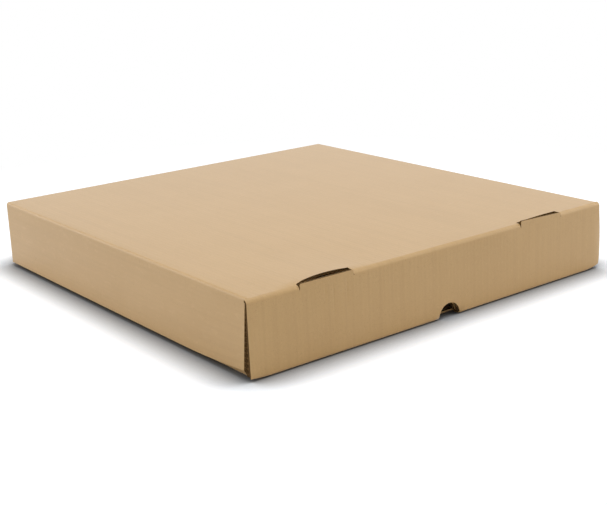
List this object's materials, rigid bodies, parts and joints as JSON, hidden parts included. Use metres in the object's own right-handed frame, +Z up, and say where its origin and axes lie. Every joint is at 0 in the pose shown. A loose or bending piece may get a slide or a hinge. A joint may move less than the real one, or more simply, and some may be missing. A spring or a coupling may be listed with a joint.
{
  "type": "pizza box",
  "caption": "Flat square corrugated box folded from one sheet, with a hinged lid whose rolled front wall locks into slots and has a thumb notch, for carrying a pizza.",
  "frame": {"origin": "bottom centre of the closed box, on the surface it stands on", "axes": "+Z up, -Y towards the rolled front wall with the thumb notch, hinge fold along X at the back, +X to the right seen from the front"},
  "size_m": [0.3126, 0.3204, 0.0514],
  "materials": {
    "kraft_board": "matt unprinted brown kraft liner over a fine flute"
  },
  "bodies": {
    "tray": {"tray": "kraft_board"},
    "lid": {"lid": "kraft_board"}
  },
  "joints": [
    {"name": "lid_hinge", "type": "hinge", "parent": "tray", "child": "lid", "pos_m": [0, 0.1594, 0.0488], "axis": [-1, 0, 0], "range_deg": [0, 180]}
  ]
}
